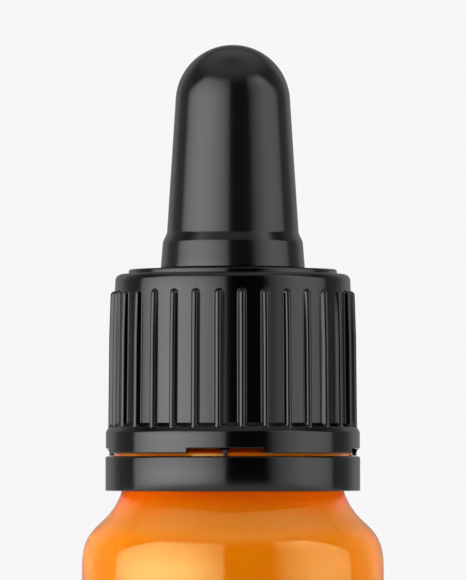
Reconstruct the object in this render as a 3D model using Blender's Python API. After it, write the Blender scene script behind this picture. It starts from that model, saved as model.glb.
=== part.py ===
"""Ink bottle with a dropper closure: a glass bottle, a screw cap with a tamper-evident ring,
a rubber bulb and a glass pipette.

The origin is the centre of the bottle's base and +Z points up along the bottle's axis. Every
piece turns or slides about that axis, so every object's origin lies on it. Outlines are lists
of (radius, height, corner radius) in metres.
"""

import math

import bmesh
import bpy
from mathutils import Vector

MM = 0.001

# Bottle
BODY_RADIUS = 14.25 * MM
BODY_WALL = 2.1 * MM
BOTTLE_HEIGHT = 65.0 * MM
FLOOR_HEIGHT = 4.0 * MM
FLOOR_DOME = 0.4 * MM
HEEL_RADIUS = 2.2 * MM
PUSH_UP = 1.2 * MM
FOOT_INNER_RADIUS = 9.6 * MM
PUSH_UP_EDGE_RADIUS = 8.4 * MM
PUSH_UP_EDGE = 0.45 * MM
SHOULDER_START = 40.3 * MM
SHOULDER_CURVE = (  # (radius, height) of the Bezier from the neck down to the body
    (9.96 * MM, 51.8 * MM),
    (9.96 * MM, 42.9 * MM),
    (BODY_RADIUS, 45.8 * MM),
    (BODY_RADIUS, SHOULDER_START),
)
SHOULDER_CUT = 0.13  # where the bead's groove cuts the curve off
INNER_RADIUS = BODY_RADIUS - BODY_WALL
INNER_HEEL_RADIUS = 2.4 * MM
GROOVE_HEIGHT = 49.25 * MM
BEAD_RADIUS = 11.25 * MM
BEAD_BOTTOM = 49.5 * MM
BEAD_TOP = 51.1 * MM
NECK_RADIUS = 8.1 * MM
NECK_FOOT = 51.8 * MM
MOUTH_RADIUS = 5.4 * MM
LIP_ROUNDING = 0.6 * MM
MOUTH_ROUNDING = 0.4 * MM
INNER_SHOULDER_CURVE = (
    (MOUTH_RADIUS, 54.5 * MM),
    (MOUTH_RADIUS, 44.0 * MM),
    (INNER_RADIUS, 47.5 * MM),
    (INNER_RADIUS, 39.0 * MM),
)

# Thread of the neck and the cap, right-handed
THREAD_PITCH = 3.0 * MM
THREAD_BOTTOM = 58.3 * MM
NECK_THREAD_TURNS = 1.5
NECK_THREAD_CREST = 8.95 * MM
CAP_THREAD_TURNS = 1.25
CAP_THREAD_CREST = 8.45 * MM
THREAD_DROP = 1.08 * MM  # how far the cap's ridge lies under the neck's
THREAD_SINK = 0.4 * MM  # how deep a ridge is rooted in its wall
NECK_THREAD_WIDTHS = (2.0 * MM, 0.7 * MM)  # at the root and at the crest
CAP_THREAD_WIDTHS = (1.8 * MM, 0.6 * MM)

# Tamper-evident ring
RING_RADIUS = 12.04 * MM
RING_BOTTOM = 47.40 * MM
RING_TOP = 50.61 * MM
RING_BORE = 11.45 * MM
CATCH_RADIUS = 10.45 * MM
CATCH_TOP = 49.10 * MM
CATCH_HEIGHT = 0.55 * MM
CATCH_LEAD_IN = 0.2 * MM

# Cap
FLANGE_RADIUS = 12.01 * MM
FLANGE_TOP = 52.95 * MM
CAP_BOTTOM = 50.95 * MM
SKIRT_BORE = 11.4 * MM
SKIRT_BORE_TOP = 52.6 * MM
SKIRT_CONE = 1.0 * MM
CAP_BORE = 9.45 * MM
WALL_RADIUS_TOP = 11.15 * MM
WALL_RADIUS_BOTTOM = 11.30 * MM
WALL_TOP = 66.5 * MM
WALL_BOTTOM = 53.9 * MM
FLARE_TOP = 53.4 * MM
FLARE_DEPTH = 0.2 * MM
SHOULDER_RADIUS = 11.12 * MM
SHOULDER_HEIGHT = 67.88 * MM
DISC_RADIUS = 9.85 * MM
CAP_TOP = 68.32 * MM
PLATE_BOTTOM = 66.9 * MM
CAP_HOLE = 5.95 * MM

# Ribs of the cap
RIB_COUNT = 32
RIB_PHASE = math.radians(-85.65)
RIB_BASE_WIDTH = 0.96 * MM
RIB_CREST_WIDTH = 0.43 * MM
RIB_ROOT_RADIUS = 10.9 * MM
RIB_CREST_LINE = (  # (height, crest radius)
    (66.45 * MM, 11.10 * MM),
    (66.00 * MM, 11.56 * MM),
    (62.00 * MM, 11.71 * MM),
    (53.10 * MM, 11.80 * MM),
)

# Notches and the webs in them
NOTCH_COUNT = 4
NOTCH_PHASE = math.radians(-93.65)
NOTCH_ANGLE = math.radians(35.5)
NOTCH_TOP = 51.42 * MM
BRIDGE_WIDTH = 0.53 * MM
BRIDGE_FLARE = 0.30 * MM
BRIDGE_INNER_RADIUS = 11.45 * MM
BRIDGE_OUTER_RADIUS = 11.85 * MM
HAIR_GAP = 0.06 * MM

# Bulb
BULB_TOP = 89.60 * MM
BULB_TIP_RADIUS = 5.42 * MM
BULB_FOOT_RADIUS = 6.23 * MM
BULB_FOOT = 71.78 * MM
COLLAR_TOP = 70.93 * MM
COLLAR_TOP_RADIUS = 6.62 * MM
COLLAR_RADIUS = 6.82 * MM
COLLAR_BOTTOM = 68.42 * MM
BULB_GROOVE_RADIUS = 5.8 * MM
BULB_FLANGE_RADIUS = 8.4 * MM
BULB_FLANGE_TOP = 66.8 * MM
BULB_FLANGE_BOTTOM = 65.1 * MM
SOCKET_RADIUS = 3.55 * MM
SOCKET_TOP = 69.6 * MM
CAVITY_RADIUS = 4.3 * MM
CAVITY_TIP_RADIUS = 3.9 * MM
CAVITY_TOP = 88.0 * MM
CAVITY_SHOULDER = 0.7 * MM
DOME_TO_CONE = 1.0 * MM

# Pipette
PIPETTE_RADIUS = 3.5 * MM
PIPETTE_BORE = 2.6 * MM
PIPETTE_TOP = 73.0 * MM
PIPETTE_TAPER_TOP = 20.0 * MM
PIPETTE_TIP = 8.8 * MM
PIPETTE_TIP_RADIUS = 1.5 * MM
PIPETTE_ORIFICE = 0.6 * MM
PIPETTE_SHOULDER_RADIUS = 12 * MM
PIPETTE_ROUNDING = 0.3 * MM

# Fineness of the meshes
BOTTLE_SIDES = 48
CAP_SIDES = 64
BULB_SIDES = 32
PIPETTE_SIDES = 24
THREAD_STEPS = 36  # stations of a thread ridge in one turn
SHARP_ANGLE = math.radians(35)


def clear_scene():
    for item in list(bpy.data.objects):
        bpy.data.objects.remove(item, do_unlink=True)


def material(name, colour, roughness, metallic=0.0, transmission=0.0):
    made = bpy.data.materials.new(name)
    made.use_nodes = True
    shader = made.node_tree.nodes["Principled BSDF"]
    shader.inputs["Base Color"].default_value = (*colour, 1.0)
    shader.inputs["Roughness"].default_value = roughness
    shader.inputs["Metallic"].default_value = metallic
    shader.inputs["Transmission Weight"].default_value = transmission
    made.diffuse_color = (*colour, 1.0)
    return made


def rounded(corners, steps=3, closed=False):
    """The outline's points as (radius, height), with each corner turned into an arc of its own radius."""
    count = len(corners)
    points = []
    for i, (x, y, radius) in enumerate(corners):
        inside = closed or 0 < i < count - 1
        if not (radius and inside):
            points.append((x, y))
            continue
        here = Vector((x, y))
        back = Vector(corners[i - 1][:2]) - here
        ahead = Vector(corners[(i + 1) % count][:2]) - here
        half = back.angle(ahead) / 2
        reach = radius / math.tan(half)
        start = here + back.normalized() * reach
        end = here + ahead.normalized() * reach
        centre = here + (back.normalized() + ahead.normalized()).normalized() * (
            radius / math.sin(half)
        )
        first, last = start - centre, end - centre
        turn = first.angle_signed(last)
        for k in range(steps + 1):
            angle = math.atan2(first.y, first.x) - turn * k / steps
            points.append(
                (centre.x + radius * math.cos(angle), centre.y + radius * math.sin(angle))
            )
    return points


def bezier(handles, start, steps):
    """Points of a cubic Bezier from its parameter start to its end."""
    a, b, c, d = handles
    points = []
    for k in range(steps + 1):
        t = start + (1 - start) * k / steps
        s = 1 - t
        points.append(
            tuple(
                s**3 * a[i] + 3 * s * s * t * b[i] + 3 * s * t * t * c[i] + t**3 * d[i]
                for i in range(2)
            )
        )
    return points


def add_object(name, bm, seat, look):
    """An object whose origin is on the axis at height seat, from a bmesh in assembly coordinates."""
    bmesh.ops.remove_doubles(bm, verts=bm.verts, dist=1e-7)
    bmesh.ops.translate(bm, verts=bm.verts, vec=(0, 0, -seat))
    bmesh.ops.recalc_face_normals(bm, faces=bm.faces)
    mesh = bpy.data.meshes.new(name)
    bm.to_mesh(mesh)
    bm.free()
    mesh.materials.append(look)
    mesh.shade_smooth()
    mesh.set_sharp_from_angle(angle=SHARP_ANGLE)
    made = bpy.data.objects.new(name, mesh)
    made.location = (0, 0, seat)
    bpy.context.scene.collection.objects.link(made)
    return made


def turned(name, points, sides, seat, look, closed=False, phase=0.0):
    """A turned solid: the outline spun about the axis. An open outline starts and ends on the axis."""
    bm = bmesh.new()
    ring = [
        bm.verts.new((r * math.cos(phase), r * math.sin(phase), z)) for r, z in points
    ]
    edges = [bm.edges.new(pair) for pair in zip(ring, ring[1:])]
    if closed:
        edges.append(bm.edges.new((ring[-1], ring[0])))
    bmesh.ops.spin(
        bm,
        geom=ring + edges,
        cent=(0, 0, 0),
        axis=(0, 0, 1),
        angle=2 * math.pi,
        steps=sides,
        use_merge=True,
    )
    return add_object(name, bm, seat, look)


def polar(radius, angle, height, sideways=0.0):
    """A point at that radius and angle, moved sideways along the tangent."""
    return (
        radius * math.cos(angle) - sideways * math.sin(angle),
        radius * math.sin(angle) + sideways * math.cos(angle),
        height,
    )


def loft(bm, sections):
    """One closed solid through sections that all have the same number of points."""
    rings = [[bm.verts.new(p) for p in section] for section in sections]
    for lower, upper in zip(rings, rings[1:]):
        for i in range(len(lower)):
            j = (i + 1) % len(lower)
            bm.faces.new((lower[i], lower[j], upper[j], upper[i]))
    bm.faces.new(rings[0][::-1])
    bm.faces.new(rings[-1])


def thread_ridge(name, root, crest, bottom, turns, widths, look):
    """A helical ridge from root radius to crest radius, fading into its wall at both ends."""
    bm = bmesh.new()
    base_width, crest_width = widths
    count = round(turns * THREAD_STEPS)
    fade_steps = 3
    sections = []
    for k in range(count + 1):
        angle = 2 * math.pi * k / THREAD_STEPS
        height = bottom + THREAD_PITCH * k / THREAD_STEPS
        fade = min(1.0, k / fade_steps, (count - k) / fade_steps)
        faded = root + math.copysign(THREAD_SINK / 2, crest - root)
        tip = faded + (crest - faded) * fade
        sections.append(
            [
                polar(root, angle, height - base_width / 2),
                polar(tip, angle, height - crest_width / 2),
                polar(tip, angle, height + crest_width / 2),
                polar(root, angle, height + base_width / 2),
            ]
        )
    loft(bm, sections)
    return helper(add_object(name, bm, 0, look))


def helper(item):
    """Marks an object that only feeds a Boolean."""
    item.hide_render = True
    item.display_type = "WIRE"
    return item


def boolean(target, other, operation):
    modifier = target.modifiers.new(other.name, "BOOLEAN")
    modifier.operation = operation
    modifier.solver = "EXACT"
    modifier.object = other


def make_bottle(look):
    """Glass bottle: pushed-up base, straight body, ogee shoulder, bead, threaded neck and lip."""
    heel = rounded(
        [
            (0, PUSH_UP, 0),
            (PUSH_UP_EDGE_RADIUS, PUSH_UP_EDGE, 0),
            (FOOT_INNER_RADIUS, 0, 0),
            (BODY_RADIUS, 0, HEEL_RADIUS),
            (BODY_RADIUS, SHOULDER_START, 0),
        ]
    )
    shoulder = bezier(SHOULDER_CURVE, SHOULDER_CUT, steps=10)[::-1]
    groove_radius = shoulder[-1][0]
    neck = rounded(
        [
            (groove_radius, GROOVE_HEIGHT - 0.2 * MM, 0),
            (groove_radius, GROOVE_HEIGHT, 0),
            (BEAD_RADIUS, BEAD_BOTTOM, 0.2 * MM),
            (BEAD_RADIUS, BEAD_TOP, 0.5 * MM),
            (NECK_RADIUS, NECK_FOOT, 0.5 * MM),
            (NECK_RADIUS, BOTTLE_HEIGHT, LIP_ROUNDING),
            (MOUTH_RADIUS, BOTTLE_HEIGHT, MOUTH_ROUNDING),
            INNER_SHOULDER_CURVE[0] + (0,),
        ]
    )
    inner_shoulder = bezier(INNER_SHOULDER_CURVE, start=0.0, steps=8)
    inside = rounded(
        [
            INNER_SHOULDER_CURVE[-1] + (0,),
            (INNER_RADIUS, FLOOR_HEIGHT, INNER_HEEL_RADIUS),
            (0, FLOOR_HEIGHT + FLOOR_DOME, 0),
        ]
    )
    outline = heel + shoulder[1:] + neck + inner_shoulder[1:] + inside[1:]
    bottle = turned("glass_bottle", outline, BOTTLE_SIDES, 0, look)
    ridge = thread_ridge(
        "neck_thread",
        NECK_RADIUS - THREAD_SINK,
        NECK_THREAD_CREST,
        THREAD_BOTTOM,
        NECK_THREAD_TURNS,
        NECK_THREAD_WIDTHS,
        look,
    )
    boolean(bottle, ridge, "UNION")
    return bottle


def make_ribs(look):
    """The cap's gripping ribs, each with a sloped top and a foot rooted in the flange."""
    bm = bmesh.new()
    for rib in range(RIB_COUNT):
        angle = RIB_PHASE + 2 * math.pi * rib / RIB_COUNT
        loft(
            bm,
            [
                [
                    polar(RIB_ROOT_RADIUS, angle, height, -RIB_BASE_WIDTH / 2),
                    polar(crest, angle, height, -RIB_CREST_WIDTH / 2),
                    polar(crest, angle, height, RIB_CREST_WIDTH / 2),
                    polar(RIB_ROOT_RADIUS, angle, height, RIB_BASE_WIDTH / 2),
                ]
                for height, crest in RIB_CREST_LINE
            ],
        )
    return helper(add_object("cap_ribs", bm, 0, look))


def make_notches(look):
    """The cutter for the four notches in the cap's lower edge, where the webs stand."""
    bm = bmesh.new()
    arc_steps = 6
    margin = 1 * MM
    low, high = CAP_BOTTOM - margin, NOTCH_TOP
    inner, outer = SKIRT_BORE - margin, FLANGE_RADIUS + margin
    for notch in range(NOTCH_COUNT):
        middle = NOTCH_PHASE + 2 * math.pi * notch / NOTCH_COUNT
        sections = []
        for k in range(arc_steps + 1):
            angle = middle + NOTCH_ANGLE * (k / arc_steps - 0.5)
            sections.append(
                [
                    polar(inner, angle, low),
                    polar(outer, angle, low),
                    polar(outer, angle, high),
                    polar(inner, angle, high),
                ]
            )
        loft(bm, sections)
    return helper(add_object("cap_notches", bm, 0, look))


def make_cap(look):
    """Screw cap: disc, shoulder, ribbed wall, flange, threaded bore and a hole for the bulb."""
    outline = rounded(
        [
            (CAP_HOLE, CAP_TOP, 0.15 * MM),
            (DISC_RADIUS, CAP_TOP, 0.17 * MM),
            (DISC_RADIUS, SHOULDER_HEIGHT, 0),
            (SHOULDER_RADIUS, SHOULDER_HEIGHT, 0.76 * MM),
            (WALL_RADIUS_TOP, WALL_TOP, 0),
            (WALL_RADIUS_BOTTOM, WALL_BOTTOM, 0),
            (FLANGE_RADIUS - FLARE_DEPTH, FLARE_TOP, 0),
            (FLANGE_RADIUS, FLANGE_TOP, 0),
            (FLANGE_RADIUS, CAP_BOTTOM, 0.08 * MM),
            (SKIRT_BORE, CAP_BOTTOM, 0),
            (SKIRT_BORE, SKIRT_BORE_TOP, 0),
            (CAP_BORE, SKIRT_BORE_TOP + SKIRT_CONE, 0),
            (CAP_BORE, PLATE_BOTTOM, 0.3 * MM),
            (CAP_HOLE, PLATE_BOTTOM, 0),
        ],
        steps=2,
        closed=True,
    )
    cap = turned(
        "screw_cap", outline, CAP_SIDES, CAP_BOTTOM, look, closed=True, phase=RIB_PHASE
    )
    ridge = thread_ridge(
        "cap_thread",
        CAP_BORE + THREAD_SINK,
        CAP_THREAD_CREST,
        THREAD_BOTTOM - THREAD_DROP,
        CAP_THREAD_TURNS,
        CAP_THREAD_WIDTHS,
        look,
    )
    boolean(cap, make_ribs(look), "UNION")
    boolean(cap, ridge, "UNION")
    boolean(cap, make_notches(look), "DIFFERENCE")
    return cap


def make_ring(look):
    """Tamper-evident ring: a band with a catch that lies under the bottle's bead."""
    outline = rounded(
        [
            (RING_BORE, RING_TOP, 0),
            (RING_RADIUS, RING_TOP, 0.1 * MM),
            (RING_RADIUS, RING_BOTTOM, 0.1 * MM),
            (RING_BORE + CATCH_LEAD_IN, RING_BOTTOM, 0),
            (CATCH_RADIUS, CATCH_TOP - CATCH_HEIGHT, 0),
            (CATCH_RADIUS, CATCH_TOP, 0),
            (RING_BORE, CATCH_TOP, 0),
        ],
        steps=2,
        closed=True,
    )
    return turned(
        "tamper_ring", outline, CAP_SIDES, RING_BOTTOM, look, closed=True, phase=RIB_PHASE
    )


def make_bridges(look):
    """The four breakable webs: each stands in a notch, wider where it meets the cap."""
    bridges = []
    for number in range(NOTCH_COUNT):
        angle = NOTCH_PHASE + 2 * math.pi * number / NOTCH_COUNT
        levels = (
            (RING_TOP + HAIR_GAP, BRIDGE_WIDTH),
            (NOTCH_TOP - HAIR_GAP - BRIDGE_FLARE, BRIDGE_WIDTH),
            (NOTCH_TOP - HAIR_GAP, BRIDGE_WIDTH + 2 * BRIDGE_FLARE),
        )
        bm = bmesh.new()
        loft(
            bm,
            [
                [
                    polar(BRIDGE_INNER_RADIUS, angle, height, -width / 2),
                    polar(BRIDGE_OUTER_RADIUS, angle, height, -width / 2),
                    polar(BRIDGE_OUTER_RADIUS, angle, height, width / 2),
                    polar(BRIDGE_INNER_RADIUS, angle, height, width / 2),
                ]
                for height, width in levels
            ],
        )
        name = f"tamper_bridge_{number + 1}"
        bridges.append(add_object(name, bm, RING_TOP, look))
    return bridges


def dome(top, radius, steps):
    """A quarter circle from the axis down to its equator."""
    centre = top - radius
    return [
        (
            radius * math.sin(math.pi / 2 * k / steps),
            centre + radius * math.cos(math.pi / 2 * k / steps),
        )
        for k in range(steps + 1)
    ]


def make_bulb(look):
    """Rubber bulb: hollow teat, collar on the cap, groove through its hole and a sealing flange."""
    outside = rounded(
        [
            (BULB_TIP_RADIUS, BULB_TOP - BULB_TIP_RADIUS - DOME_TO_CONE, 0),
            (BULB_FOOT_RADIUS, BULB_FOOT, 0),
            (COLLAR_TOP_RADIUS, COLLAR_TOP, 0),
            (COLLAR_RADIUS, COLLAR_BOTTOM, 0.25 * MM),
            (BULB_GROOVE_RADIUS, COLLAR_BOTTOM, 0),
            (BULB_GROOVE_RADIUS, BULB_FLANGE_TOP, 0),
            (BULB_FLANGE_RADIUS, BULB_FLANGE_TOP, 0.25 * MM),
            (BULB_FLANGE_RADIUS, BULB_FLANGE_BOTTOM, 0.25 * MM),
            (SOCKET_RADIUS, BULB_FLANGE_BOTTOM, 0),
            (SOCKET_RADIUS, SOCKET_TOP, 0),
            (CAVITY_RADIUS, SOCKET_TOP + CAVITY_SHOULDER, 0),
        ],
        steps=2,
    )
    cavity = dome(CAVITY_TOP, CAVITY_TIP_RADIUS, 5)[::-1]
    outline = dome(BULB_TOP, BULB_TIP_RADIUS, 8) + outside[1:] + cavity
    return turned("rubber_bulb", outline, BULB_SIDES, BULB_FLANGE_BOTTOM, look)


def make_pipette(look):
    """Glass pipette: a tube drawn down to a fine tip."""
    outline = rounded(
        [
            (PIPETTE_BORE, PIPETTE_TOP, PIPETTE_ROUNDING),
            (PIPETTE_RADIUS, PIPETTE_TOP, PIPETTE_ROUNDING),
            (PIPETTE_RADIUS, PIPETTE_TAPER_TOP, PIPETTE_SHOULDER_RADIUS),
            (PIPETTE_TIP_RADIUS, PIPETTE_TIP, PIPETTE_ROUNDING),
            (PIPETTE_ORIFICE, PIPETTE_TIP, 0),
            (PIPETTE_BORE, PIPETTE_TAPER_TOP, PIPETTE_SHOULDER_RADIUS),
        ],
        steps=2,
        closed=True,
    )
    return turned("glass_pipette", outline, PIPETTE_SIDES, PIPETTE_TIP, look, closed=True)


def body_empty(name, children):
    """An empty on the axis that carries the pieces of one moving body."""
    empty = bpy.data.objects.new(name, None)
    bpy.context.scene.collection.objects.link(empty)
    for child in children:
        child.parent = empty
    return empty


def main():
    clear_scene()
    lacquer = material("orange_lacquered_glass", (0.93, 0.36, 0.02), 0.08)
    plastic = material("black_cap_plastic", (0.012, 0.012, 0.013), 0.28)
    rubber = material("black_bulb_rubber", (0.012, 0.012, 0.013), 0.38)
    glass = material("clear_pipette_glass", (0.95, 0.97, 0.96), 0.03, transmission=1.0)
    make_bottle(lacquer)
    body_empty("ring_body", [make_ring(plastic)])
    cap_body = body_empty("cap_body", [make_cap(plastic), *make_bridges(plastic)])
    bulb_body = body_empty("bulb_body", [make_bulb(rubber)])
    body_empty("dropper_body", [make_pipette(glass), cap_body, bulb_body])


main()
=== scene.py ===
"""Looks of the ink bottle with a dropper closure: fine meshes in place of the CAD solids,
procedural materials, a plain studio and the camera.

Every length is in metres, in the CAD's frame: the axis is +Z through the origin, the bottle
stands on z = 0 and the camera looks along +Y. Outlines are lists of (radius, height) or
(radius, height, corner radius).
"""

import math

import bpy
import numpy as np
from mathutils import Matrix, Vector


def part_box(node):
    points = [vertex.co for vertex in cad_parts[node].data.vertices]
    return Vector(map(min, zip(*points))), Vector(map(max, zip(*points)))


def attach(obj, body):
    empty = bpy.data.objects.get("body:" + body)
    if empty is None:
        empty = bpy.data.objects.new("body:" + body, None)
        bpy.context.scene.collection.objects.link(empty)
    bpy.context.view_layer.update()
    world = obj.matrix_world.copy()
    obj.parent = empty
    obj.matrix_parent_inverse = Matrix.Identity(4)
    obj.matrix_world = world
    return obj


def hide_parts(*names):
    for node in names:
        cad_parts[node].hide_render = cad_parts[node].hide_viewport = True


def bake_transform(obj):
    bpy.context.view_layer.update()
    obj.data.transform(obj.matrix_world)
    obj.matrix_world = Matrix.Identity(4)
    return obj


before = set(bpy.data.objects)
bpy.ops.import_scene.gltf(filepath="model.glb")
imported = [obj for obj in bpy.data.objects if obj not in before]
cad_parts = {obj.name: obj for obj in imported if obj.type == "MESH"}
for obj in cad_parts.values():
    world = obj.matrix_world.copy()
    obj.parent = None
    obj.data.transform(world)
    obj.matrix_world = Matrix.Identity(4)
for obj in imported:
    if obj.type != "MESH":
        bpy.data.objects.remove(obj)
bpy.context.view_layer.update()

MM = 0.001
TURN = 2 * math.pi
SAME = 1e-6  # below this two lengths count as equal

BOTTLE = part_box("glass_bottle")
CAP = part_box("screw_cap")
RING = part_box("tamper_ring")
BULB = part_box("rubber_bulb")
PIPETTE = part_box("glass_pipette")
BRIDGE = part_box("tamper_bridge_1")

# Bottle
BODY_RADIUS = BOTTLE[1].x
BOTTLE_HEIGHT = BOTTLE[1].z
BODY_WALL = 2.1 * MM
FLOOR_HEIGHT = 4.0 * MM
FLOOR_DOME = 0.4 * MM
HEEL_RADIUS = 2.2 * MM
PUSH_UP = 1.2 * MM  # of the base's middle
PUSH_UP_EDGE = (8.4 * MM, 0.45 * MM)
FOOT_INNER_RADIUS = 9.6 * MM
SHOULDER_START = 40.3 * MM
SHOULDER_CURVE = (
    (9.96 * MM, 51.8 * MM),
    (9.96 * MM, 42.9 * MM),
    (BODY_RADIUS, 45.8 * MM),
    (BODY_RADIUS, SHOULDER_START),
)
SHOULDER_CUT = 0.13  # where the curve starts at the groove, as its parameter
SHOULDER_STEPS = 72
INNER_RADIUS = BODY_RADIUS - BODY_WALL
INNER_HEEL_RADIUS = 2.4 * MM
GROOVE_HEIGHT = 49.25 * MM
GROOVE_WIDTH = 0.2 * MM
BEAD_RADIUS = 11.32 * MM
BEAD_BOTTOM = 49.5 * MM
BEAD_FLANK = 50.4 * MM  # where its sloped upper flank starts
BEAD_TOP = 51.0 * MM
BEAD_TOP_RADIUS = BEAD_RADIUS - 0.13 * MM
NECK_RADIUS = 8.1 * MM
NECK_FOOT = 51.8 * MM
NECK_FOOT_ROUNDING = 0.5 * MM
MOUTH_RADIUS = 5.4 * MM
LIP_ROUNDING = 0.6 * MM
MOUTH_ROUNDING = 0.4 * MM
INNER_SHOULDER_CURVE = (
    (MOUTH_RADIUS, 54.5 * MM),
    (MOUTH_RADIUS, 44.0 * MM),
    (INNER_RADIUS, 47.5 * MM),
    (INNER_RADIUS, 39.0 * MM),
)
BOTTLE_SIDES = 256

# Threads, right-handed, starting at +X. Crest and root are half widths.
THREAD_PITCH = 3.0 * MM
THREAD_BOTTOM = 58.3 * MM
THREAD_DROP = 1.08 * MM  # of the cap's thread under the neck's
THREAD_FADE = 0.09  # of a turn
THREAD_ROW = 0.15 * MM  # height of a row of faces on a thread
NECK_THREAD = dict(
    bottom=THREAD_BOTTOM,
    turns=1.5,
    height=0.85 * MM,
    crest=0.35 * MM,
    root=0.79 * MM,
)
CAP_THREAD = dict(
    bottom=THREAD_BOTTOM - THREAD_DROP,
    turns=1.25,
    height=1.0 * MM,
    crest=0.3 * MM,
    root=0.72 * MM,
)

# Ring
RING_RADIUS = RING[1].x
RING_BOTTOM = RING[0].z
RING_TOP = RING[1].z
RING_EDGE = 0.22 * MM  # rounding of its outer corners
SLIT_TRIM = 0.07 * MM  # what the moulded edge closes of the slit under the cap
RING_BORE = 11.45 * MM
CATCH_RADIUS = 10.45 * MM
CATCH_TOP = 49.10 * MM
CATCH_HEIGHT = 0.55 * MM
CATCH_LEAD_IN = 0.2 * MM
RING_SIDES = 256

# Cap
FLANGE_RADIUS = CAP[1].x
CAP_BOTTOM = CAP[0].z
CAP_TOP = CAP[1].z
FLANGE_TOP = 52.95 * MM
FLANGE_CHAMFER_SLOPE = 0.24 / 0.45  # inwards, for each metre upwards
SKIRT_BORE = 11.4 * MM
SKIRT_BORE_TOP = 52.6 * MM
SKIRT_CONE = 1.0 * MM
SKIRT_ROUNDING = 0.05 * MM
CAP_BORE = 9.45 * MM
CAP_BORE_TOP = 63.5 * MM  # of its threaded part
CAP_BORE_BOTTOM = SKIRT_BORE_TOP + SKIRT_CONE
WALL_RADIUS_TOP = 11.15 * MM
WALL_RADIUS_BOTTOM = 11.30 * MM
WALL_TOP = 66.5 * MM
WALL_BOTTOM = 53.79 * MM
FLARE_SLOPE = 1.08  # the wall's flare above the flange, at a rib
FLARE_SLOPE_MORE = 0.75  # and what it gains towards the middle between two ribs
FLARE_BLEND = 0.02 * MM
FLANGE_BLEND = 0.04 * MM
SHOULDER_RADIUS = 11.12 * MM
SHOULDER_HEIGHT = 67.88 * MM
SHOULDER_ROUNDING = 0.64 * MM
SHOULDER_FOOT = (SHOULDER_RADIUS + 0.01 * MM, 66.9 * MM)
DISC_RADIUS = 9.85 * MM
PLATE_BOTTOM = 66.9 * MM
CAP_HOLE = 5.95 * MM
LOWER_EDGE = 0.08 * MM  # rounding of the cap's lower edge

# The cap's rows, in mm: above its lower edge, then heights on its ribbed wall and its thread
FLANGE_ROWS = (0, 0.1, 0.3, 0.6, 1.0, 1.4)
WALL_ROWS = (
    *np.arange(52.70, 54.02, 0.05),
    *(54.1, 54.3, 54.8, 56, 57.5, 59, 60.5, 62, 63, 64, 64.8, 65.3),
    *np.arange(65.55, 66.60, 0.05),
)
CAP_THREAD_ROWS = np.arange(63.3, 55.7, -0.15)

# Ribs
RIB_COUNT = 32
RIB_PHASE = math.radians(-85.65)
RIB_CREST_LINE = (  # (height, crest radius)
    (53.10 * MM, 11.80 * MM),
    (62.00 * MM, 11.71 * MM),
    (66.00 * MM, 11.58 * MM),
    (66.45 * MM, 11.56 * MM),
)
RIB_END = 66.37 * MM
RIB_HEIGHT = 0.47 * MM  # of the section, which is stretched to the crest line
RIB_EDGE = 0.30 * MM  # radius of its crest
RIB_FILLET = 0.10 * MM
RIB_SLOPE = math.radians(66)
PANEL_OFFSETS = (0.65, 0.75, 0.86, 0.98)  # mm from a rib's spine, of columns beside the rib

# Notches and the webs in them
NOTCH_COUNT = 4
NOTCH_PHASE = math.radians(-93.65)
NOTCH_ANGLE = math.radians(35.5)
NOTCH_TOP = 51.42 * MM
NOTCH_CORNER = 0.17 * MM
NOTCH_BEVEL_WIDTH = 0.28 * MM  # the notch's top slopes down behind its edge
NOTCH_BEVEL_HEIGHT = 0.14 * MM
NOTCH_OFFSETS = (  # mm from a notch's end towards its middle, of columns
    *(-0.10, -0.03, 0.0, 0.012, 0.03, 0.06, 0.10, 0.14, 0.18, 0.24),
)
NOTCH_FADE = 0.6 * MM  # how far above a notch the cap's rows are still raised
NOTCH_END = 0.006 * MM  # columns nearer to its end than this stay at the lower edge
NOTCH_RADIUS = 11.5 * MM  # where distances from its end are measured
COLUMN_GAP = 0.011 * MM  # a rib's column as near as this to a notch's is left out
BRIDGE_GAP = 0.04 * MM  # between a web and the ring
BRIDGE_INNER_RADIUS = 11.28 * MM
BRIDGE_OUTER_RADIUS = 11.70 * MM
BRIDGE_TOP_RADIUS = FLANGE_RADIUS - 0.03 * MM
BRIDGE_WIDTH = 0.53 * MM
BRIDGE_FLARE = 0.42 * MM
BRIDGE_POST = 0.3  # share of its height below the flare
BRIDGE_SQUARENESS = 0.4  # exponent of its section: 1 is an ellipse, 0 a rectangle
BRIDGE_ROWS, BRIDGE_SIDES = 14, 24

# Bulb
BULB_TOP = BULB[1].z
BULB_TIP_RADIUS = 5.42 * MM
BULB_FOOT = (6.23 * MM, 71.78 * MM)
COLLAR_TOP = (6.62 * MM, 70.93 * MM)
COLLAR_BOTTOM = (6.82 * MM, 68.42 * MM)
BULB_GROOVE_RADIUS = 5.8 * MM
BULB_FLANGE_RADIUS = 8.4 * MM
BULB_FLANGE_TOP = 66.8 * MM
BULB_FLANGE_BOTTOM = BULB[0].z
SOCKET_RADIUS = 3.55 * MM
SOCKET_TOP = 69.6 * MM
CAVITY_RADIUS = 4.3 * MM
CAVITY_TIP_RADIUS = 3.9 * MM
CAVITY_TOP = 88.0 * MM
CAVITY_SHOULDER = 0.7 * MM
BULB_SIDES = 192

# Pipette
PIPETTE_RADIUS = PIPETTE[1].x
PIPETTE_TOP = PIPETTE[1].z
PIPETTE_TIP = PIPETTE[0].z
PIPETTE_BORE = 2.6 * MM
PIPETTE_TAPER_TOP = 20.0 * MM
PIPETTE_TIP_RADIUS = 1.5 * MM
PIPETTE_ORIFICE = 0.6 * MM
PIPETTE_SHOULDER_RADIUS = 12 * MM
PIPETTE_ROUNDING = 0.3 * MM
PIPETTE_SIDES = 96

SHARP_ANGLE = math.radians(38)  # an edge that turns more than this is shaded sharp


# ---------------------------------------------------------------- outlines


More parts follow.
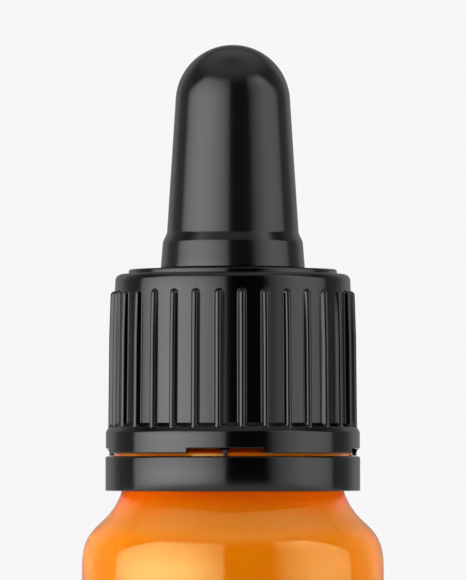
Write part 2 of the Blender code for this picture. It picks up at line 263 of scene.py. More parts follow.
def rounded(corners, steps=6, closed=False):
    """The outline's points, with each corner turned into an arc of its own radius."""
    count = len(corners)
    points = []
    for i, (x, y, radius) in enumerate(corners):
        if not radius or not (closed or 0 < i < count - 1):
            points.append((x, y))
            continue
        here = Vector((x, y))
        back = Vector(corners[i - 1][:2]) - here
        ahead = Vector(corners[(i + 1) % count][:2]) - here
        half = back.angle(ahead) / 2
        reach = radius / math.tan(half)
        centre = here + (back.normalized() + ahead.normalized()).normalized() * (
            radius / math.sin(half)
        )
        first = here + back.normalized() * reach - centre
        last = here + ahead.normalized() * reach - centre
        turn = first.angle_signed(last)
        for k in range(steps + 1):
            angle = math.atan2(first.y, first.x) - turn * k / steps
            points.append(
                (centre.x + radius * math.cos(angle), centre.y + radius * math.sin(angle))
            )
    return points


def bezier(handles, start, steps):
    """Points of a cubic Bezier from its parameter start to its end."""
    a, b, c, d = (np.array(h) for h in handles)
    points = []
    for t in np.linspace(start, 1, steps + 1):
        s = 1 - t
        points.append(tuple(s**3 * a + 3 * s * s * t * b + 3 * s * t * t * c + t**3 * d))
    return points


def arc(centre, radius, start, end, steps):
    """Points of an arc between two angles in degrees."""
    return [
        (centre[0] + radius * math.cos(a), centre[1] + radius * math.sin(a))
        for a in np.radians(np.linspace(start, end, steps + 1))
    ]


def divided(points, longest):
    """The outline with every segment longer than that cut into equal parts."""
    fine = [points[0]]
    for (x0, y0), (x1, y1) in zip(points, points[1:]):
        parts = max(1, math.ceil(math.hypot(x1 - x0, y1 - y0) / longest))
        for k in range(1, parts + 1):
            fine.append((x0 + (x1 - x0) * k / parts, y0 + (y1 - y0) * k / parts))
    return fine


def smooth_min(a, b, blend):
    share = np.clip(0.5 + 0.5 * (b - a) / blend, 0, 1)
    return b + (a - b) * share - blend * share * (1 - share)


def smooth_max(a, b, blend):
    return -smooth_min(-a, -b, blend)


def smooth_step(x):
    x = np.clip(x, 0, 1)
    return x * x * (3 - 2 * x)


# ---------------------------------------------------------------- meshes


def add_piece(name, body, look, replaced, vertices, faces):
    """A piece in place of the CAD nodes in replaced. Without a body it is left unattached."""
    mesh = bpy.data.meshes.new(name)
    mesh.from_pydata(vertices, [], faces)
    mesh.validate()
    mesh.materials.append(look)
    mesh.shade_smooth()
    mesh.set_sharp_from_angle(angle=SHARP_ANGLE)
    mesh.update()
    piece = bpy.data.objects.new(name, mesh)
    bpy.context.scene.collection.objects.link(piece)
    if body:
        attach(piece, body)
    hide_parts(*replaced)
    return piece


def rows_of(outline, columns):
    """The outline's radii and heights, each repeated along its row of a grid."""
    radii, heights = np.array(outline).T
    return np.repeat(radii[:, None], columns, axis=1), np.repeat(heights[:, None], columns, axis=1)


def grid(radii, heights, angles, closed):
    """Vertices and faces of a turned surface: its rows follow an outline, its columns go round
    the axis. Where it isn't closed, its first and last rows shrink to a point on the axis."""
    rows, columns = radii.shape
    x, y = radii * np.cos(angles), radii * np.sin(angles)
    vertices = np.stack([x, y, heights], axis=-1).reshape(-1, 3)
    index = np.arange(rows * columns).reshape(rows, columns)
    following = np.roll(index, -1, axis=1)
    first_row, last_row = (0, rows) if closed else (1, rows - 2)
    faces = []
    for k in range(first_row, last_row):
        above = (k + 1) % rows
        corners = [index[k], following[k], following[above], index[above]]
        faces += np.stack(corners, axis=-1).tolist()
    if not closed:
        first, last = int(index[0, 0]), int(index[-1, 0])
        faces = [[first, b, a] for a, b in zip(index[1].tolist(), following[1].tolist())] + faces
        faces += [[last, a, b] for a, b in zip(index[-2].tolist(), following[-2].tolist())]
        keep = np.ones(len(vertices), bool)
        keep[index[0, 1:]] = keep[index[-1, 1:]] = False
        renumbered = np.cumsum(keep) - 1
        vertices = vertices[keep]
        faces = [[int(renumbered[v]) for v in face] for face in faces]
    return vertices.tolist(), faces


def turned(name, body, look, replaced, outline, sides, closed=False):
    """A piece turned about the axis."""
    angles = np.linspace(0, TURN, sides, endpoint=False)
    vertices, faces = grid(*rows_of(outline, sides), angles, closed)
    return add_piece(name, body, look, replaced, vertices, faces)


def thread(angles, heights, bottom, turns, height, crest, root):
    """How far a thread's ridge stands out of its wall at each point of a grid."""
    out = np.zeros(heights.shape)
    for lap in range(-1, math.ceil(turns) + 1):
        turn = np.mod(angles, TURN) / TURN + lap
        middle = bottom + THREAD_PITCH * turn
        ends = smooth_step(turn / THREAD_FADE) * smooth_step((turns - turn) / THREAD_FADE)
        side = smooth_step((root - np.abs(heights - middle)) / (root - crest))
        out = np.maximum(out, height * ends * side)
    return out


def bottle_outline():
    heel = rounded(
        [
            (0, PUSH_UP, 0),
            (*PUSH_UP_EDGE, 1.5 * MM),
            (FOOT_INNER_RADIUS, 0, 0.5 * MM),
            (BODY_RADIUS, 0, HEEL_RADIUS),
            (BODY_RADIUS, SHOULDER_START, 0),
        ],
        steps=8,
    )
    shoulder = bezier(SHOULDER_CURVE, SHOULDER_CUT, SHOULDER_STEPS)[::-1]
    groove_radius = shoulder[-1][0]
    neck = rounded(
        [
            (groove_radius, GROOVE_HEIGHT - GROOVE_WIDTH, 0),
            (groove_radius, GROOVE_HEIGHT, 0.1 * MM),
            (BEAD_RADIUS, BEAD_BOTTOM, 0.2 * MM),
            (BEAD_RADIUS, BEAD_FLANK, 0.6 * MM),
            (BEAD_TOP_RADIUS, BEAD_TOP, 0.25 * MM),
            (NECK_RADIUS, NECK_FOOT, NECK_FOOT_ROUNDING),
            (NECK_RADIUS, BOTTLE_HEIGHT, LIP_ROUNDING),
            (MOUTH_RADIUS, BOTTLE_HEIGHT, MOUTH_ROUNDING),
            (*INNER_SHOULDER_CURVE[0], 0),
        ],
        steps=8,
    )
    inner_shoulder = bezier(INNER_SHOULDER_CURVE, start=0.0, steps=32)
    inside = rounded(
        [
            (*INNER_SHOULDER_CURVE[-1], 0),
            (INNER_RADIUS, FLOOR_HEIGHT, INNER_HEEL_RADIUS),
            (0, FLOOR_HEIGHT + FLOOR_DOME, 0),
        ],
        steps=10,
    )
    return divided(heel + shoulder[1:] + neck + inner_shoulder[1:] + inside[1:], 3 * MM)


def make_bottle(look):
    outline = bottle_outline()
    fine = []  # the outline with the neck's segments cut up for the thread
    for (x0, z0), (x1, z1) in zip(outline, outline[1:]):
        fine.append((x0, z0))
        on_neck = abs(x0 - NECK_RADIUS) < SAME and abs(x1 - NECK_RADIUS) < SAME
        if on_neck and NECK_FOOT + NECK_FOOT_ROUNDING - SAME <= z0 < z1:
            parts = max(1, round((z1 - z0) / THREAD_ROW))
            fine += [(x0, z0 + (z1 - z0) * k / parts) for k in range(1, parts)]
    fine.append(outline[-1])
    angles = np.linspace(0, TURN, BOTTLE_SIDES, endpoint=False)
    radii, heights = rows_of(fine, BOTTLE_SIDES)
    on_neck = (np.abs(radii - NECK_RADIUS) < SAME) & (heights > NECK_FOOT)
    radii = radii + np.where(on_neck, thread(angles, heights, **NECK_THREAD), 0)
    vertices, faces = grid(radii, heights, angles, closed=False)
    add_piece(
        "bottle", "bottle", look, ["glass_bottle"], vertices, faces
    )


def cap_angles():
    """The cap's columns: crowded at the ribs' flanks and at the notches' ends."""
    radius = (WALL_RADIUS_TOP + WALL_RADIUS_BOTTOM) / 2
    pitch = TURN / RIB_COUNT
    base = [0.0, pitch / 2]
    for offset in [*rib_section()[0][1:-1], *(offset * MM for offset in PANEL_OFFSETS)]:
        base += [offset / radius, -offset / radius]
    ribs = [RIB_PHASE + pitch * k + a for k in range(RIB_COUNT) for a in base]
    notches = []
    for k in range(NOTCH_COUNT):
        middle = NOTCH_PHASE + TURN * k / NOTCH_COUNT
        for offset in NOTCH_OFFSETS:
            inward = NOTCH_ANGLE / 2 - offset * MM / radius
            notches += [middle - inward, middle + inward]
    notches = np.mod(notches, TURN)
    ribs = np.mod(ribs, TURN)
    apart = np.abs(np.mod(ribs[:, None] - notches[None, :] + math.pi, TURN) - math.pi).min(1)
    return np.sort(np.concatenate([ribs[apart > COLUMN_GAP / radius], notches]))


def rib_section():
    """A rib's section from its spine outwards: distances, shares of its height, and half its
    width. It has a round crest, a straight flank and a fillet."""
    lean = np.linspace(0, RIB_SLOPE, 11)
    edge = np.array([RIB_EDGE * np.sin(lean), RIB_HEIGHT - RIB_EDGE * (1 - np.cos(lean))])
    rise = RIB_FILLET * (1 - np.cos(lean))
    run = RIB_FILLET * np.sin(lean)
    straight = (edge[1][-1] - rise[-1]) / math.tan(RIB_SLOPE)
    foot = edge[0][-1] + straight + run[-1]
    fillet = np.array([foot - run, rise])[:, ::-1]
    distance, height = np.concatenate([edge, fillet, [[1], [0]]], axis=1)
    return distance, height / RIB_HEIGHT, foot


def rib_share(lateral, heights):
    """How much of a rib's height stands at each point, from its crest, 1, to the panel, 0."""
    distance, share, foot = rib_section()
    above = np.maximum(heights - (RIB_END - foot), 0)
    return np.interp(np.hypot(lateral, above), distance, share)


def cap_outside(angles, heights):
    """Radius of the cap's ribbed wall and flange at each point."""
    pitch = TURN / RIB_COUNT
    from_rib = np.abs(np.mod(angles - RIB_PHASE + pitch / 2, pitch) - pitch / 2)
    wall = np.interp(heights, [WALL_BOTTOM, WALL_TOP], [WALL_RADIUS_BOTTOM, WALL_RADIUS_TOP])
    lateral = from_rib * wall
    half_panel = pitch / 2 * WALL_RADIUS_BOTTOM
    from_middle = np.clip(1 - lateral / half_panel, 0, 1)
    slope = FLARE_SLOPE + FLARE_SLOPE_MORE * from_middle**2
    flare = WALL_RADIUS_BOTTOM + (WALL_BOTTOM - heights) * slope
    crest = np.interp(heights, *zip(*RIB_CREST_LINE))
    ribbed = wall + (crest - wall) * rib_share(lateral, heights)
    chamfer = FLANGE_RADIUS - (heights - FLANGE_TOP) * FLANGE_CHAMFER_SLOPE
    flange = smooth_min(chamfer, np.full_like(chamfer, FLANGE_RADIUS), FLANGE_BLEND)
    return smooth_max(ribbed, smooth_min(flare, flange, FLANGE_BLEND), FLARE_BLEND)


def notch_lift(angles):
    """Height of the cap's lower edge above CAP_BOTTOM, at each column."""
    spacing = TURN / NOTCH_COUNT
    from_middle = np.abs(np.mod(angles - NOTCH_PHASE + spacing / 2, spacing) - spacing / 2)
    inside = (NOTCH_ANGLE / 2 - from_middle) * NOTCH_RADIUS
    corner = np.clip(NOTCH_CORNER - inside, 0, NOTCH_CORNER)
    top = NOTCH_TOP - CAP_BOTTOM - NOTCH_CORNER + np.sqrt(NOTCH_CORNER**2 - corner**2)
    return np.where(inside > NOTCH_END, top, 0.0)


def make_cap(look):
    """The outline is made in six runs. The wall's run holds only heights, as its radii come from
    cap_outside; the bore's run gets the thread, and the lowest rows rise into the notches."""
    flange = [(FLANGE_RADIUS, CAP_BOTTOM + LOWER_EDGE + z * MM) for z in FLANGE_ROWS]
    wall = [(0, z * MM) for z in WALL_ROWS]
    corner = (SHOULDER_RADIUS - SHOULDER_ROUNDING, SHOULDER_HEIGHT - SHOULDER_ROUNDING)
    over = [SHOULDER_FOOT, *arc(corner, SHOULDER_ROUNDING, 0, 90, 10)]
    over += rounded(
        [
            (corner[0], SHOULDER_HEIGHT, 0),
            (DISC_RADIUS, SHOULDER_HEIGHT, 0.04 * MM),
            (DISC_RADIUS, CAP_TOP, 0.17 * MM),
            (CAP_HOLE, CAP_TOP, 0.15 * MM),
            (CAP_HOLE, PLATE_BOTTOM, 0),
            (CAP_BORE, PLATE_BOTTOM, 0.3 * MM),
            (CAP_BORE, CAP_BORE_TOP, 0),
        ],
        steps=6,
    )[1:]
    over = divided(over, 1.2 * MM)
    bore = [(CAP_BORE, z * MM) for z in CAP_THREAD_ROWS]
    skirt = [
        (CAP_BORE, CAP_BORE_BOTTOM + 1.2 * MM),
        (CAP_BORE, CAP_BORE_BOTTOM),
        (SKIRT_BORE, SKIRT_BORE_TOP),
        (SKIRT_BORE, SKIRT_BORE_TOP - 0.7 * MM),
    ]
    underside = [
        (SKIRT_BORE, CAP_BOTTOM + SKIRT_ROUNDING),
        (SKIRT_BORE + SKIRT_ROUNDING, CAP_BOTTOM),
        ((SKIRT_BORE + FLANGE_RADIUS) / 2, CAP_BOTTOM),
    ]
    edge = (FLANGE_RADIUS - LOWER_EDGE, CAP_BOTTOM + LOWER_EDGE)
    underside += arc(edge, LOWER_EDGE, -90, 0, 5)[:-1]

    angles = cap_angles()
    radii, heights = rows_of(flange + wall + over + bore + skirt + underside, len(angles))
    ribbed = slice(len(flange), len(flange) + len(wall))
    radii[ribbed] = cap_outside(np.broadcast_to(angles, radii[ribbed].shape), heights[ribbed])
    bore_start = ribbed.stop + len(over)
    threaded = slice(bore_start, bore_start + len(bore))
    radii[threaded] -= thread(angles, heights[threaded], **CAP_THREAD)

    lift = notch_lift(angles)
    reach = NOTCH_TOP + NOTCH_FADE - CAP_BOTTOM
    share = np.clip(1 - (heights - CAP_BOTTOM) / reach, 0, 1)
    heights = heights + lift * share
    notched = np.clip(lift / (NOTCH_TOP - CAP_BOTTOM), 0, 1)
    bottom = slice(len(heights) - len(underside), len(heights))
    outward = np.clip((radii[bottom] - FLANGE_RADIUS) / NOTCH_BEVEL_WIDTH + 1, 0, 1)
    bevel = NOTCH_BEVEL_HEIGHT * (outward - 1) - (heights[bottom] - heights[bottom][:1])
    heights[bottom] += bevel * notched
    vertices, faces = grid(radii, heights, angles, closed=True)
    add_piece("cap", "cap", look, ["screw_cap"], vertices, faces)


def make_ring(look):
    outline = rounded(
        [
            (RING_BORE, RING_TOP + SLIT_TRIM, 0.05 * MM),
            (RING_RADIUS, RING_TOP + SLIT_TRIM, RING_EDGE),
            (RING_RADIUS, RING_BOTTOM, 0.1 * MM),
            (RING_BORE + CATCH_LEAD_IN, RING_BOTTOM, 0.05 * MM),
            (CATCH_RADIUS, CATCH_TOP - CATCH_HEIGHT, 0.08 * MM),
            (CATCH_RADIUS, CATCH_TOP, 0.08 * MM),
            (RING_BORE, CATCH_TOP, 0.05 * MM),
        ],
        steps=5,
        closed=True,
    )[::-1]
    turned(
        "ring",
        "ring",
        look,
        ["tamper_ring"],
        outline,
        RING_SIDES,
        closed=True,
    )


def make_bridge(number, look):
    """A web between the cap and the ring: a small post with rounded edges that widens upwards
    into the cap."""
    angle = NOTCH_PHASE + TURN * number / NOTCH_COUNT
    bottom, top = RING_TOP + SLIT_TRIM + BRIDGE_GAP, BRIDGE[1].z
    vertices, faces = [], []
    for k in range(BRIDGE_ROWS + 1):
        share = k / BRIDGE_ROWS
        widening = max(0.0, (share - BRIDGE_POST) / (1 - BRIDGE_POST))
        flare = 1 - math.sqrt(1 - widening**2)
        half = BRIDGE_WIDTH / 2 + BRIDGE_FLARE * flare
        outer = BRIDGE_OUTER_RADIUS + (BRIDGE_TOP_RADIUS - BRIDGE_OUTER_RADIUS) * flare
        middle, depth = (outer + BRIDGE_INNER_RADIUS) / 2, (outer - BRIDGE_INNER_RADIUS) / 2
        for j in range(BRIDGE_SIDES):
            c, s = math.cos(TURN * j / BRIDGE_SIDES), math.sin(TURN * j / BRIDGE_SIDES)
            across = half * math.copysign(abs(c) ** BRIDGE_SQUARENESS, c)
            radius = middle + depth * math.copysign(abs(s) ** BRIDGE_SQUARENESS, s)
            vertices.append(
                (
                    radius * math.cos(angle) - across * math.sin(angle),
                    radius * math.sin(angle) + across * math.cos(angle),
                    bottom + (top - bottom) * share,
                )
            )
    for k in range(BRIDGE_ROWS):
        for j in range(BRIDGE_SIDES):
            a, b = k * BRIDGE_SIDES + j, k * BRIDGE_SIDES + (j + 1) % BRIDGE_SIDES
            faces.append((a, a + BRIDGE_SIDES, b + BRIDGE_SIDES, b))
    faces.append(tuple(range(BRIDGE_SIDES)))
    faces.append(tuple(range(len(vertices) - BRIDGE_SIDES, len(vertices)))[::-1])
    add_piece(
        f"bridge_{number + 1}",
        "cap",
        look,
        [f"tamper_bridge_{number + 1}"],
        vertices,
        faces,
    )


def make_bulb(look):
    tip = arc((0, BULB_TOP - BULB_TIP_RADIUS), BULB_TIP_RADIUS, 90, 2, 28)
    outside = rounded(
        [
            (*tip[-1], 0),
            (*BULB_FOOT, 0.35 * MM),
            (*COLLAR_TOP, 0.35 * MM),
            (*COLLAR_BOTTOM, 0.12 * MM),
            (BULB_GROOVE_RADIUS, COLLAR_BOTTOM[1], 0.1 * MM),
            (BULB_GROOVE_RADIUS, BULB_FLANGE_TOP, 0.1 * MM),
            (BULB_FLANGE_RADIUS, BULB_FLANGE_TOP, 0.25 * MM),
            (BULB_FLANGE_RADIUS, BULB_FLANGE_BOTTOM, 0.25 * MM),
            (SOCKET_RADIUS, BULB_FLANGE_BOTTOM, 0.1 * MM),
            (SOCKET_RADIUS, SOCKET_TOP, 0),
            (CAVITY_RADIUS, SOCKET_TOP + CAVITY_SHOULDER, 0.2 * MM),
            (CAVITY_TIP_RADIUS, CAVITY_TOP - CAVITY_TIP_RADIUS, 0),
        ],
        steps=6,
    )
    cavity = arc((0, CAVITY_TOP - CAVITY_TIP_RADIUS), CAVITY_TIP_RADIUS, 0, 90, 14)
    outline = divided(tip + outside[1:] + cavity[1:], 1.0 * MM)
    outline[0] = (0, outline[0][1])
    outline[-1] = (0, outline[-1][1])
    bulb = turned(
        "bulb", None, look, ["rubber_bulb"], outline[::-1], BULB_SIDES
    )
    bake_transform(bulb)


def make_pipette(look):
    outline = rounded(
        [
            (PIPETTE_BORE, PIPETTE_TOP, PIPETTE_ROUNDING),
            (PIPETTE_RADIUS, PIPETTE_TOP, PIPETTE_ROUNDING),
            (PIPETTE_RADIUS, PIPETTE_TAPER_TOP, PIPETTE_SHOULDER_RADIUS),
            (PIPETTE_TIP_RADIUS, PIPETTE_TIP, PIPETTE_ROUNDING),
            (PIPETTE_ORIFICE, PIPETTE_TIP, 0.15 * MM),
            (PIPETTE_BORE, PIPETTE_TAPER_TOP, PIPETTE_SHOULDER_RADIUS),
        ],
        steps=8,
        closed=True,
    )
    outline = divided(outline + outline[:1], 2.5 * MM)[:-1]
    turned(
        "pipette",
        "dropper",
        look,
        ["glass_pipette"],
        outline[::-1],
        PIPETTE_SIDES,
        closed=True,
    )


# ---------------------------------------------------------------- node trees


class Graph:
    """Short calls for building a node tree."""

    def __init__(self, tree):
        self.tree = tree
        tree.nodes.clear()

    def node(self, kind, **settings):
        made = self.tree.nodes.new(kind)
        for name, value in settings.items():
            setattr(made, name, value)
        return made

    def put(self, value, socket):
        """A number or colour is set on the socket; a socket is linked to it."""
        if isinstance(value, bpy.types.NodeSocket):
            self.tree.links.new(value, socket)
        elif value is not None:
            socket.default_value = value

    def math(self, operation, a, b=None, c=None):
        made = self.node("ShaderNodeMath", operation=operation)
        for value, socket in zip((a, b, c), made.inputs):
            self.put(value, socket)
        return made.outputs[0]

    def step(self, value, low, high, kind="SMOOTHSTEP"):
        """value mapped from low..high to 0..1, clamped."""
        made = self.node("ShaderNodeMapRange", interpolation_type=kind)
        for item, socket in zip((value, low, high), made.inputs):
            self.put(item, socket)
        return made.outputs[0]

    def noise(self, size, detail, vector):
        """Noise with features of that size in metres."""
        made = self.node("ShaderNodeTexNoise")
        self.put(vector, made.inputs["Vector"])
        self.put(1 / size, made.inputs["Scale"])
        self.put(detail, made.inputs["Detail"])
        return made.outputs["Fac"]

    def mix(self, share, a, b):
        made = self.node("ShaderNodeMix", data_type="RGBA")
        self.put(share, made.inputs["Factor"])
        self.put(a, made.inputs["A"])
        self.put(b, made.inputs["B"])
        return made.outputs["Result"]

    def grey(self, value):
        """A colour from a socket's one number."""
        made = self.node("ShaderNodeCombineColor")
        for socket in made.inputs:
            self.put(value, socket)
        return made.outputs[0]

    def bump(self, height, depth):
        made = self.node("ShaderNodeBump")
        self.put(depth, made.inputs["Distance"])
        self.put(height, made.inputs["Height"])
        return made.outputs["Normal"]

    def product(self, *factors):
        total = factors[0]
        for factor in factors[1:]:
            total = self.math("MULTIPLY", total, factor)
        return total


def new_material(name, **settings):
    """A material with its graph, its Principled shader and the object's own coordinates."""
    material = bpy.data.materials.new(name)
    material.use_nodes = True
    graph = Graph(material.node_tree)
    shader = graph.node("ShaderNodeBsdfPrincipled")
    output = graph.node("ShaderNodeOutputMaterial")
    graph.put(shader.outputs["BSDF"], output.inputs["Surface"])
    place = graph.node("ShaderNodeTexCoord").outputs["Object"]
    for socket, value in settings.items():
        shader.inputs[socket.replace("_", " ")].default_value = value
    return material, graph, shader, place


def grey(value):
    return (value, value, value, 1.0)


def plastic_look():
    """Satin black polypropylene: faint cloudiness and the fine grain of a spark-eroded mould."""
    material, graph, shader, place = new_material("cap_plastic", IOR=1.5)
    cloud = graph.noise(2.5 * MM, detail=3, vector=place)
    grain = graph.noise(0.06 * MM, detail=2, vector=place)
    graph.put(graph.mix(cloud, grey(0.0003), grey(0.0008)), shader.inputs["Base Color"])
    rough = graph.math("MULTIPLY_ADD", cloud, 0.02, 0.11)
    graph.put(graph.math("MULTIPLY_ADD", grain, 0.02, rough), shader.inputs["Roughness"])
    graph.put(graph.bump(grain, 0.0002 * MM), shader.inputs["Normal"])
    return material


def rubber_look():
    """Smooth black rubber: slightly softer gloss than the cap, with a fine bloom."""
    material, graph, shader, place = new_material("bulb_rubber", IOR=1.5)
    bloom = graph.noise(1.6 * MM, detail=4, vector=place)
    grain = graph.noise(0.09 * MM, detail=3, vector=place)
    graph.put(graph.mix(bloom, grey(0.0025), grey(0.0040)), shader.inputs["Base Color"])
    rough = graph.math("MULTIPLY_ADD", bloom, 0.03, 0.145)
    graph.put(graph.math("MULTIPLY_ADD", grain, 0.02, rough), shader.inputs["Roughness"])
    graph.put(graph.bump(grain, 0.0004 * MM), shader.inputs["Normal"])
    return material


SHADED_NECK_HEIGHTS = (44.5 * MM, 47.5 * MM)  # between which the lacquer's colour turns to a painted shade, redder and deeper, for the neck under the ring


def lacquer_look():
    """Opaque orange lacquer on glass: a deep gloss with the faintest orange peel. At the neck its
    colour is painted redder and deeper, a painted shade for where the ring shades the neck and
    bead."""
    material, graph, shader, place = new_material(
        "orange_lacquer",
        IOR=1.8,
        Specular_Tint=(1.0, 0.98, 0.39, 1.0),
        Subsurface_Weight=1.0,
        Subsurface_Radius=(1.0, 0.22, 0.03),
        Subsurface_Scale=2.5 * MM,
    )
    cloud = graph.noise(3.0 * MM, detail=3, vector=place)
    peel = graph.noise(1.1 * MM, detail=1, vector=place)
    height = graph.node("ShaderNodeSeparateXYZ")
    graph.put(place, height.inputs[0])
    body = graph.mix(cloud, (0.640, 0.188, 0.0008, 1.0), (0.670, 0.200, 0.0014, 1.0))
    # painted shade: the neck's colour is redder and deeper, standing in for the shade under the
    # ring
    neck = graph.mix(cloud, (0.820, 0.114, 0.0004, 1.0), (0.830, 0.122, 0.0006, 1.0))
    neck_shade = graph.step(height.outputs["Z"], *SHADED_NECK_HEIGHTS)
    graph.put(graph.mix(neck_shade, body, neck), shader.inputs["Base Color"])
    graph.put(graph.math("MULTIPLY_ADD", cloud, 0.015, 0.03), shader.inputs["Roughness"])
    graph.put(graph.bump(peel, 0.0004 * MM), shader.inputs["Normal"])
    return material


def glass_look():
    """Clear borosilicate glass, very slightly green in its thickness."""
    material, graph, shader, place = new_material(
        "pipette_glass", IOR=1.47, Transmission_Weight=1.0
    )
    wave = graph.noise(6 * MM, detail=1, vector=place)
    graph.put(
        graph.mix(wave, (0.95, 0.985, 0.97, 1.0), (0.97, 0.99, 0.98, 1.0)),
        shader.inputs["Base Color"],
    )
    graph.put(graph.math("MULTIPLY_ADD", wave, 0.01, 0.0), shader.inputs["Roughness"])
    graph.put(graph.bump(wave, 0.01 * MM), shader.inputs["Normal"])
    return material


def floor_look():
    material, graph, shader, place = new_material("pale_floor", Roughness=0.7)
    mottle = graph.noise(20 * MM, detail=3, vector=place)
    graph.put(graph.mix(mottle, grey(0.68), grey(0.70)), shader.inputs["Base Color"])
    return material


# ---------------------------------------------------------------- studio


# The room round the object, in degrees: azimuth 0 is behind the camera, -90 is on its left and
# 180 behind the object; elevation 0 is the horizon. Stops are (degrees, brightness).
LEFT_SOFTBOX = dict(span=(-101, -7), top=43, chamfer=30)
RIGHT_SOFTBOX = dict(span=(24, 102), top=45, chamfer=30)
SOFTBOX_EDGE = 2.0  # half width of its soft sides
SOFTBOX_LID = 5.0  # and of its soft top
LEFT_ROUND = (
    *((-101, 1.8), (-92, 2.75), (-82, 3.8), (-72, 4.5), (-62, 4.85)),
    *((-50, 4.75), (-38, 4.3), (-27, 3.6), (-16, 2.5), (-7, 1.7)),
)
LEFT_RISE = ((0, 1.0), (8, 0.8), (15, 0.74), (22, 0.67), (29, 0.58), (36, 0.5), (44, 0.4))
RIGHT_ROUND = (
    *((26, 0.0), (32, 0.12), (38, 0.66), (44, 1.05), (50, 1.35), (56, 1.6)),
    *((62, 1.86), (70, 1.95), (83, 1.76), (92, 1.45), (102, 1.0)),
)
RIGHT_RISE = ((0, 1.0), (8, 0.97), (22, 0.9), (29, 0.98), (36, 1.1), (46, 1.1))
CEILING = (
    *((-90, 0.3), (-20, 0.05), (-8, 0.01), (0, 0.005), (25, 0.01)),
    *((35, 0.06), (45, 0.28), (55, 0.48), (65, 0.6), (75, 0.56), (90, 0.42)),
)
BACKDROP_ROUND = (
    *((0, 0.0), (96, 0.08), (108, 0.22), (122, 0.25), (130, 0.33)),
    *((140, 0.5), (150, 0.42), (160, 0.34), (170, 0.3), (180, 0.3)),
)
BACKDROP_TOP = (60, 20)  # where it has faded out, and where it starts to
SOFT_ROUND = (
    *((-180, 1.3), (-150, 1.9), (-120, 2.8), (-90, 2.4), (-60, 1.55), (-30, 0.82), (0, 0.48)),
    *((30, 0.64), (60, 1.05), (90, 1.65), (120, 2.1), (150, 1.7), (180, 1.3)),
)
SOFT_RISE = (
    *((0, 6.2), (3, 5.4), (6, 2.8), (10, 0.9)),
    *((15, 0.65), (25, 0.65), (45, 0.8), (90, 0.85)),
)
BACKGROUND = (0.923, 0.923, 0.939, 1.0)

FLOOR_RADIUS = 0.5
FLOOR_SIDES = 128

CAMERA_DISTANCE = 0.70
CAMERA_PLACE = (0.015 * MM, -CAMERA_DISTANCE, 49.84 * MM)
CAMERA_TILT = math.radians(1.355)  # upwards
SEEN_HEIGHT = 54.84 * MM  # of the plane through the axis
SENSOR = 36  # mm


def softbox(graph, azimuth, height, span, top, chamfer):
    """1 inside a softbox that fills those azimuths up to that height, with its outer top corner
    cut off."""
    low, high = span
    sides = graph.product(
        graph.step(azimuth, low - SOFTBOX_EDGE, low + SOFTBOX_EDGE),
        graph.step(azimuth, high + SOFTBOX_EDGE, high - SOFTBOX_EDGE),
    )
    lid = graph.step(height, top + SOFTBOX_LID, top - SOFTBOX_LID)
    outer, direction = (low, -1.0) if abs(low) > abs(high) else (high, 1.0)
    outward = graph.product(graph.math("SUBTRACT", azimuth, outer), direction)
    diagonal = graph.math("ADD", outward, graph.math("SUBTRACT", height, top))
    corner = graph.step(diagonal, -chamfer + SOFTBOX_LID, -chamfer - SOFTBOX_LID)
    return graph.product(sides, lid, corner)


def ramp(graph, value, stops):
    """A smooth curve of one number over another, through stops of (position, value)."""
    low, high = stops[0][0], stops[-1][0]
    peak = max(v for _, v in stops)
    share = graph.step(value, low, high, kind="LINEAR")
    made = graph.node("ShaderNodeValToRGB")
    made.color_ramp.interpolation = "CARDINAL"
    elements = made.color_ramp.elements
    while len(elements) > 1:
        elements.remove(elements[-1])
    for number, (position, height) in enumerate(stops):
        place = (position - low) / (high - low)
        element = elements[0] if number == 0 else elements.new(place)
        element.position = place
        element.color = grey(height / peak)
    graph.put(share, made.inputs["Fac"])
    return graph.product(made.outputs["Color"], peak)


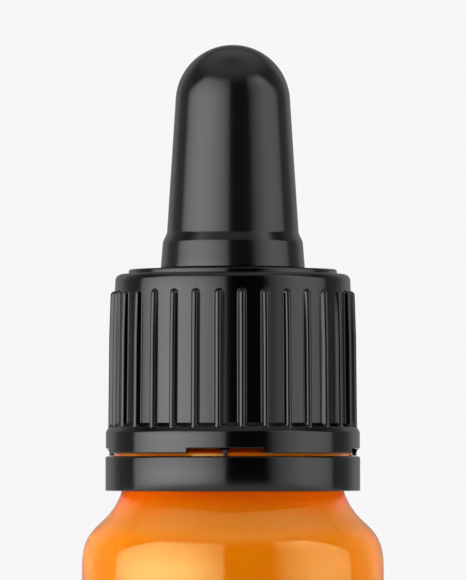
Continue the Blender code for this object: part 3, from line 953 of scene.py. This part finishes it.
def make_studio():
    """A studio of two softboxes, a dark camera side and a pale backdrop, as a world shader.
    Reflections see it, matt surfaces get a soft light instead, and the camera sees a plain
    pale background."""
    world = bpy.data.worlds.new("studio")
    bpy.context.scene.world = world
    world.use_nodes = True
    world.cycles.sampling_method = "NONE"  # light sampling would mix the two kinds of light
    graph = Graph(world.node_tree)
    parts = graph.node("ShaderNodeSeparateXYZ")
    graph.put(graph.node("ShaderNodeTexCoord").outputs["Generated"], parts.inputs[0])
    x, y, z = parts.outputs
    azimuth = graph.math("ARCTAN2", x, graph.product(y, -1.0))
    azimuth = graph.product(azimuth, math.degrees(1))
    elevation = graph.product(graph.math("ARCSINE", z), math.degrees(1))
    height = graph.math("ABSOLUTE", elevation)

    left = softbox(graph, azimuth, height, **LEFT_SOFTBOX)
    right = softbox(graph, azimuth, height, **RIGHT_SOFTBOX)
    boxes = graph.math(
        "ADD",
        graph.product(left, ramp(graph, azimuth, LEFT_ROUND), ramp(graph, height, LEFT_RISE)),
        graph.product(right, ramp(graph, azimuth, RIGHT_ROUND), ramp(graph, height, RIGHT_RISE)),
    )
    backdrop = graph.product(
        ramp(graph, graph.math("ABSOLUTE", azimuth), BACKDROP_ROUND),
        graph.step(height, *BACKDROP_TOP),
    )
    room = graph.math("MAXIMUM", ramp(graph, elevation, CEILING), backdrop)
    inside_box = graph.math("MAXIMUM", left, right)
    room = graph.product(room, graph.math("SUBTRACT", 1.0, inside_box))
    gloss = graph.math("ADD", boxes, room)
    soft = graph.product(ramp(graph, azimuth, SOFT_ROUND), ramp(graph, height, SOFT_RISE))

    ray = graph.node("ShaderNodeLightPath").outputs
    total = graph.mix(ray["Is Glossy Ray"], graph.grey(soft), graph.grey(gloss))
    shown = graph.mix(ray["Is Camera Ray"], total, BACKGROUND)
    background = graph.node("ShaderNodeBackground")
    output = graph.node("ShaderNodeOutputWorld")
    graph.put(shown, background.inputs["Color"])
    graph.put(background.outputs[0], output.inputs["Surface"])


def make_floor():
    angles = [TURN * k / FLOOR_SIDES for k in range(FLOOR_SIDES)]
    vertices = [(FLOOR_RADIUS * math.cos(a), FLOOR_RADIUS * math.sin(a), 0.0) for a in angles]
    mesh = bpy.data.meshes.new("floor")
    mesh.from_pydata(vertices, [], [tuple(range(FLOOR_SIDES))])
    mesh.materials.append(floor_look())
    floor = bpy.data.objects.new("floor", mesh)
    bpy.context.scene.collection.objects.link(floor)


def make_camera():
    """The photograph's view: level with the shoulder, looking slightly up, from far away."""
    data = bpy.data.cameras.new("camera")
    data.sensor_width = SENSOR
    data.lens = SENSOR * CAMERA_DISTANCE / SEEN_HEIGHT
    data.clip_start = 0.01
    camera = bpy.data.objects.new("camera", data)
    camera.location = CAMERA_PLACE
    camera.rotation_euler = (math.pi / 2 + CAMERA_TILT, 0, 0)
    bpy.context.scene.collection.objects.link(camera)
    bpy.context.scene.camera = camera


def main():
    plastic = plastic_look()
    make_bottle(lacquer_look())
    make_cap(plastic)
    make_ring(plastic)
    for number in range(NOTCH_COUNT):
        make_bridge(number, plastic)
    make_bulb(rubber_look())
    make_pipette(glass_look())
    make_studio()
    make_floor()
    make_camera()
    bpy.context.scene.view_settings.view_transform = "Standard"


main()
